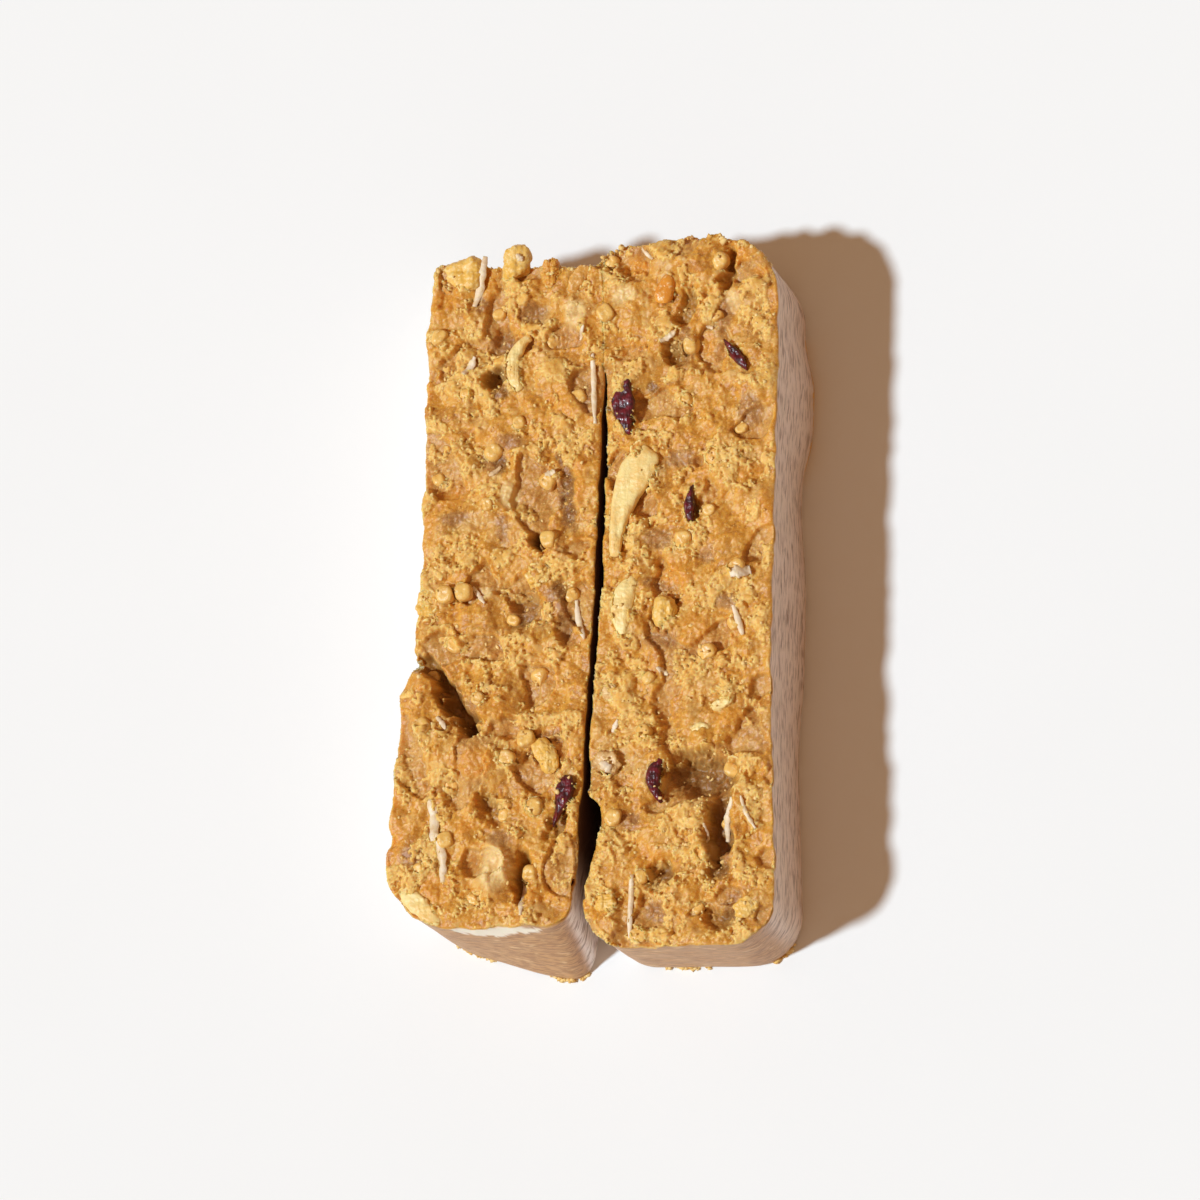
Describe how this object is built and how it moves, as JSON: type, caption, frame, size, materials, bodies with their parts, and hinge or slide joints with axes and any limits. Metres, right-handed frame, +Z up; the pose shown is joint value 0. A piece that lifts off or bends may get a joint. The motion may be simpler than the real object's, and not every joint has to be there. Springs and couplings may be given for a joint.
{
  "type": "granola bar",
  "caption": "Nut and seed granola bar split lengthwise and folded back to back, torn crumb faces up, smooth moulded skin round its sides.",
  "frame": {"origin": "middle of the footprint, on the surface that the bar rests on", "axes": "+Y along the limbs towards the end where the two halves are joined; +X from the left limb to the right limb; +Z up, the torn faces' side"},
  "size_m": [0.0494, 0.0874, 0.0211],
  "materials": {
    "crumb": "torn crumb",
    "skin": "pressed skin",
    "nut": "cut nut",
    "grain": "syrup glazed",
    "berry": "sticky dried fruit",
    "coconut": "dried flake"
  },
  "bodies": {
    "root": {"granola_bar": "crumb"}
  },
  "joints": []
}
